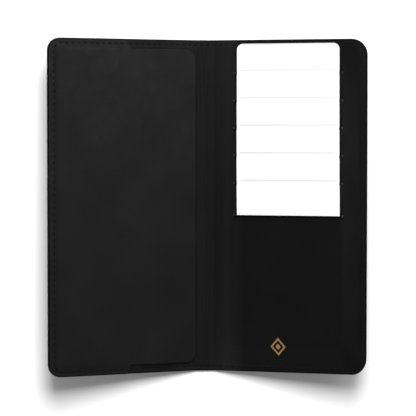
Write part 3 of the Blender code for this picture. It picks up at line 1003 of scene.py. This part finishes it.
def leather_look(name, dark, light, rough_low, rough_high, specular, spine_sheen_tone=None):
    """Smooth black hide with a fine grain and painted edges, and a paler painted sheen along the spine."""
    look = Look(name)
    look.set(Specular_IOR_Level=specular)
    slow = look.noise(26 * MM, 4.0)
    hide = look.mix_colour(look.remap(slow, 0.0, 1.0, 0.3, 0.7), dark, light)
    # paler tone near the spine: painted sheen standing in for the light the curved spine catches
    if spine_sheen_tone:
        parts = look.tree.nodes.new("ShaderNodeSeparateXYZ")
        look.tree.links.new(look.coordinate, parts.inputs["Vector"])
        near = look.remap(parts.outputs["X"], 0.0, 1.0, *SPINE_SHEEN_IN)
        far = look.remap(parts.outputs["X"], 1.0, 0.0, *SPINE_SHEEN_OUT)
        hide = look.mix_colour(look.math("MULTIPLY", near, far), hide, spine_sheen_tone)
    painted = look.remap(look.attribute("edge"), 1.0, 0.0, *PAINT_FADE)
    look.link("Base Color", look.mix_colour(painted, hide, PAINT_LIGHT))
    rough = look.remap(look.noise(5 * MM, 5.0), rough_low, rough_high, 0.3, 0.7)
    look.link("Roughness", look.math("SUBTRACT", rough, look.remap(painted, 0.0, 0.08)))
    pebbles = look.cells(0.9 * MM)
    pores = look.noise(0.35 * MM, 2.0)
    height = look.math("ADD", look.remap(pebbles, 0.0, 1.0, 0.0, 0.8), look.remap(pores, 0.0, 0.5))
    look.bump(height, 0.05 * MM, 0.6)
    return look.material


def thread_look(name, dark, light, specular):
    look = Look(name, "object")
    look.set(Specular_IOR_Level=specular)
    twist = look.noise(0.25 * MM, 1.0, (1.0, 2.5, 1.0))
    look.link("Base Color", look.mix_colour(twist, dark, light))
    look.link("Roughness", look.remap(twist, 0.6, 0.8))
    look.bump(twist, 0.05 * MM)
    return look.material


def card_look(number):
    """White plastic, with painted shade: faintly grey towards the card's two short edges."""
    look = Look(f"card_{number}_white", "object")
    look.set(Specular_IOR_Level=0.5, Coat_Weight=0.15, Coat_Roughness=0.2)
    haze = look.noise(18 * MM, 4.0)
    white = look.mix_colour(haze, (0.74, 0.74, 0.74), (0.77, 0.77, 0.77))
    low, high = measure(f"card_{number}", 1)
    along = look.tree.nodes.new("ShaderNodeSeparateXYZ")
    look.tree.links.new(look.coordinate, along.inputs["Vector"])
    off_centre = look.math("SUBTRACT", along.outputs["Y"], (low.y + high.y) / 2)
    reach = look.math("ABSOLUTE", off_centre, 0.0)
    half = (high.y - low.y) / 2
    # painted shade towards the card's short edges
    edge_shade = look.remap(reach, 0.0, 1.0, half - CARD_EDGE_SHADE_START, half - CARD_EDGE_SHADE_END)
    look.link("Base Color", look.mix_colour(edge_shade, white, CARD_EDGE_SHADE_TONE))
    look.link("Roughness", look.remap(look.noise(3 * MM, 4.0), 0.32, 0.42))
    look.bump(look.noise(0.5 * MM, 2.0), 0.01 * MM, 0.3)
    return look.material


def foil_look():
    look = Look("gold_foil", "object")
    look.set(Metallic=0.85)
    patch = look.noise(0.9 * MM, 3.0)
    look.link("Base Color", look.mix_colour(patch, (0.55, 0.31, 0.11), (0.75, 0.46, 0.18)))
    look.link("Roughness", look.remap(patch, 0.35, 0.5))
    look.bump(look.noise(0.4 * MM, 2.0), 0.03 * MM, 0.6)
    return look.material


def lining_look():
    look = Look("lining_weave", "object")
    weave = look.noise(0.4 * MM, 1.0, (1.0, 3.0, 1.0))
    look.link("Base Color", look.mix_colour(weave, (0.012, 0.012, 0.013), (0.03, 0.03, 0.032)))
    look.link("Roughness", look.remap(weave, 0.75, 0.95))
    look.bump(weave, 0.08 * MM)
    return look.material


def paint_look(name, coordinate="plan"):
    """Edge paint, matt and nearly black."""
    look = Look(name, coordinate)
    look.set(Specular_IOR_Level=0.05)
    skin = look.noise(0.8 * MM, 2.0)
    look.link("Base Color", look.mix_colour(skin, PAINT_DARK, PAINT_LIGHT))
    look.link("Roughness", look.remap(skin, 0.4, 0.55))
    look.bump(skin, 0.02 * MM)
    return look.material


def board_look():
    look = Look("grey_board", "object")
    fibre = look.noise(1.2 * MM, 4.0)
    look.link("Base Color", look.mix_colour(fibre, (0.22, 0.19, 0.15), (0.36, 0.31, 0.25)))
    look.link("Roughness", look.remap(fibre, 0.85, 0.95))
    look.bump(fibre, 0.05 * MM)
    return look.material


def floor_look():
    look = Look("pale_floor", "object")
    tone = look.noise(90 * MM, 2.0)
    look.link("Base Color", look.mix_colour(tone, (0.88, 0.88, 0.88), (0.9, 0.9, 0.9)))
    look.link("Roughness", look.remap(tone, 0.85, 0.9))
    return look.material


def dress_nodes(looks):
    """Finish for the CAD nodes that stay in view or lie inside, by material slot."""
    for subpart in frame["record"]["subparts"]:
        if subpart["material_slot"] in looks:
            node = frame["nodes"][subpart["node"]]
            node.data.materials.clear()
            node.data.materials.append(looks[subpart["material_slot"]])
    for number in range(1, len(CARDS) + 1):
        card = frame["nodes"][f"card_{number}"]
        card.data.materials.clear()
        card.data.materials.append(card_look(number))
        bevel = card.modifiers.new("soft_edge", "BEVEL")
        bevel.width = CARD_BEVEL
        bevel.segments = 2
        bevel.limit_method = "ANGLE"


# ---- studio -----------------------------------------------------------------
def make_floor(look):
    bm = bmesh.new()
    bmesh.ops.create_grid(bm, x_segments=1, y_segments=1, size=FLOOR_HALF)
    floor = finish_mesh("floor", bm)
    floor.location.z = -FLOOR_DROP
    floor.data.materials.append(look)


def make_softbox(name, target, elevation, azimuth, distance, size, power, glossy=True):
    """A rectangular light aimed at the case; azimuth 0 is at +Y and 90 at +X."""
    data = bpy.data.lights.new(name, "AREA")
    data.shape = "RECTANGLE"
    data.size, data.size_y = size
    data.energy = power
    box = bpy.data.objects.new(name, data)
    up = radians(elevation)
    way = radians(azimuth)
    offset = Vector((sin(way) * cos(up), cos(way) * cos(up), sin(up))) * distance
    box.location = Vector(target) + offset
    box.rotation_euler = offset.to_track_quat("Z", "Y").to_euler()
    box.visible_camera = False
    box.visible_glossy = glossy
    bpy.context.scene.collection.objects.link(box)


def make_world():
    """Even soft light from all round, brighter at the horizon."""
    world = bpy.data.worlds.new("studio")
    world.use_nodes = True
    tree = world.node_tree
    sky = tree.nodes["Background"]
    sky.inputs["Color"].default_value = (1.0, 1.0, 1.0, 1.0)
    direction = tree.nodes.new("ShaderNodeTexCoord")
    parts = tree.nodes.new("ShaderNodeSeparateXYZ")
    tree.links.new(direction.outputs["Generated"], parts.inputs["Vector"])
    below = tree.nodes.new("ShaderNodeMapRange")
    below.inputs["From Min"].default_value = 0.0
    below.inputs["From Max"].default_value = 1.0
    below.inputs["To Min"].default_value = 1.0
    below.inputs["To Max"].default_value = 0.0
    tree.links.new(parts.outputs["Z"], below.inputs["Value"])
    fall = tree.nodes.new("ShaderNodeMath")
    fall.operation = "POWER"
    tree.links.new(below.outputs["Result"], fall.inputs[0])
    fall.inputs[1].default_value = 6.0
    level = tree.nodes.new("ShaderNodeMath")
    level.operation = "MULTIPLY_ADD"
    tree.links.new(fall.outputs["Value"], level.inputs[0])
    level.inputs[1].default_value = HORIZON_LIGHT
    level.inputs[2].default_value = SKY_LIGHT
    tree.links.new(level.outputs["Value"], sky.inputs["Strength"])
    bpy.context.scene.world = world
    bpy.context.scene.view_settings.view_transform = "Standard"


def make_studio(look):
    """A key light for the floor and cards, a weaker wide one for the sheen, and a side light."""
    make_floor(look)
    make_softbox("key_softbox", (0, 0, 0), KEY_ELEVATION, 0, 1.0, (0.35, 0.5), 12.0, glossy=False)
    make_softbox("key_sheen", (0, 0, 0), KEY_ELEVATION, 0, 1.0, (0.8, 0.5), 1.5)
    make_softbox("side_softbox", (-0.04, 0.06, 0.01), 53, 62, 0.5, (0.25, 0.25), 0.45)
    make_world()


def make_camera():
    data = bpy.data.cameras.new("camera")
    data.lens = 165.5
    data.sensor_width = 36.0
    data.clip_end = 20.0
    camera = bpy.data.objects.new("camera", data)
    camera.location = (-0.0639, 0.0399, 1.0)
    camera.rotation_euler = (radians(-2.35), radians(-3.75), radians(0.03))
    bpy.context.scene.collection.objects.link(camera)
    bpy.context.scene.camera = camera


# ---- scene ------------------------------------------------------------------
make_camera()
outer = leather_look("outer_hide", (0.0022, 0.0022, 0.0023), (0.0038, 0.0038, 0.004), 0.42, 0.54, 0.25)
# the base hide is painted lighter than the panel's: painted light against the shade under the pocket flap
base = leather_look(
    "base_hide_painted_lighter", (0.0024, 0.0024, 0.0025), (0.0046, 0.0046, 0.0048), 0.46, 0.58, 0.16,
    spine_sheen_tone=(0.0058, 0.0058, 0.006),
)
# the panel's hide is painted darker than the other leather: painted shade for the dimmer light on the right wing
panel = leather_look(
    "panel_hide_painted_darker", (0.0015, 0.0015, 0.0016), (0.0028, 0.0028, 0.003), 0.46, 0.58, 0.16,
    spine_sheen_tone=(0.0072, 0.0072, 0.0075),
)
pocket = leather_look("pocket_hide", (0.0022, 0.0022, 0.0023), (0.0042, 0.0042, 0.0044), 0.42, 0.54, 0.25)
thread = thread_look("thread_black", (0.001, 0.001, 0.0011), (0.003, 0.003, 0.0032), 0.15)
# the tack thread is painted paler than the seam thread: a painted highlight for the glint the bar tacks catch
tack_thread_glint = thread_look("tack_thread_glint", (0.012, 0.012, 0.013), (0.028, 0.028, 0.03), 0.3)
paint = paint_look("edge_paint")
make_studio(floor_look())
make_outer_leather("left", outer, paint)
make_outer_leather("right", outer, paint)
make_inner_leather(base, paint)
make_card_panel(panel, paint)
make_pocket(pocket, paint)
make_seams(thread)
make_tacks(tack_thread_glint)
make_slit_beads(paint_look("slit_paint", "object"))
make_emblem(foil_look())
dress_nodes({"board": board_look(), "lining": lining_look()})
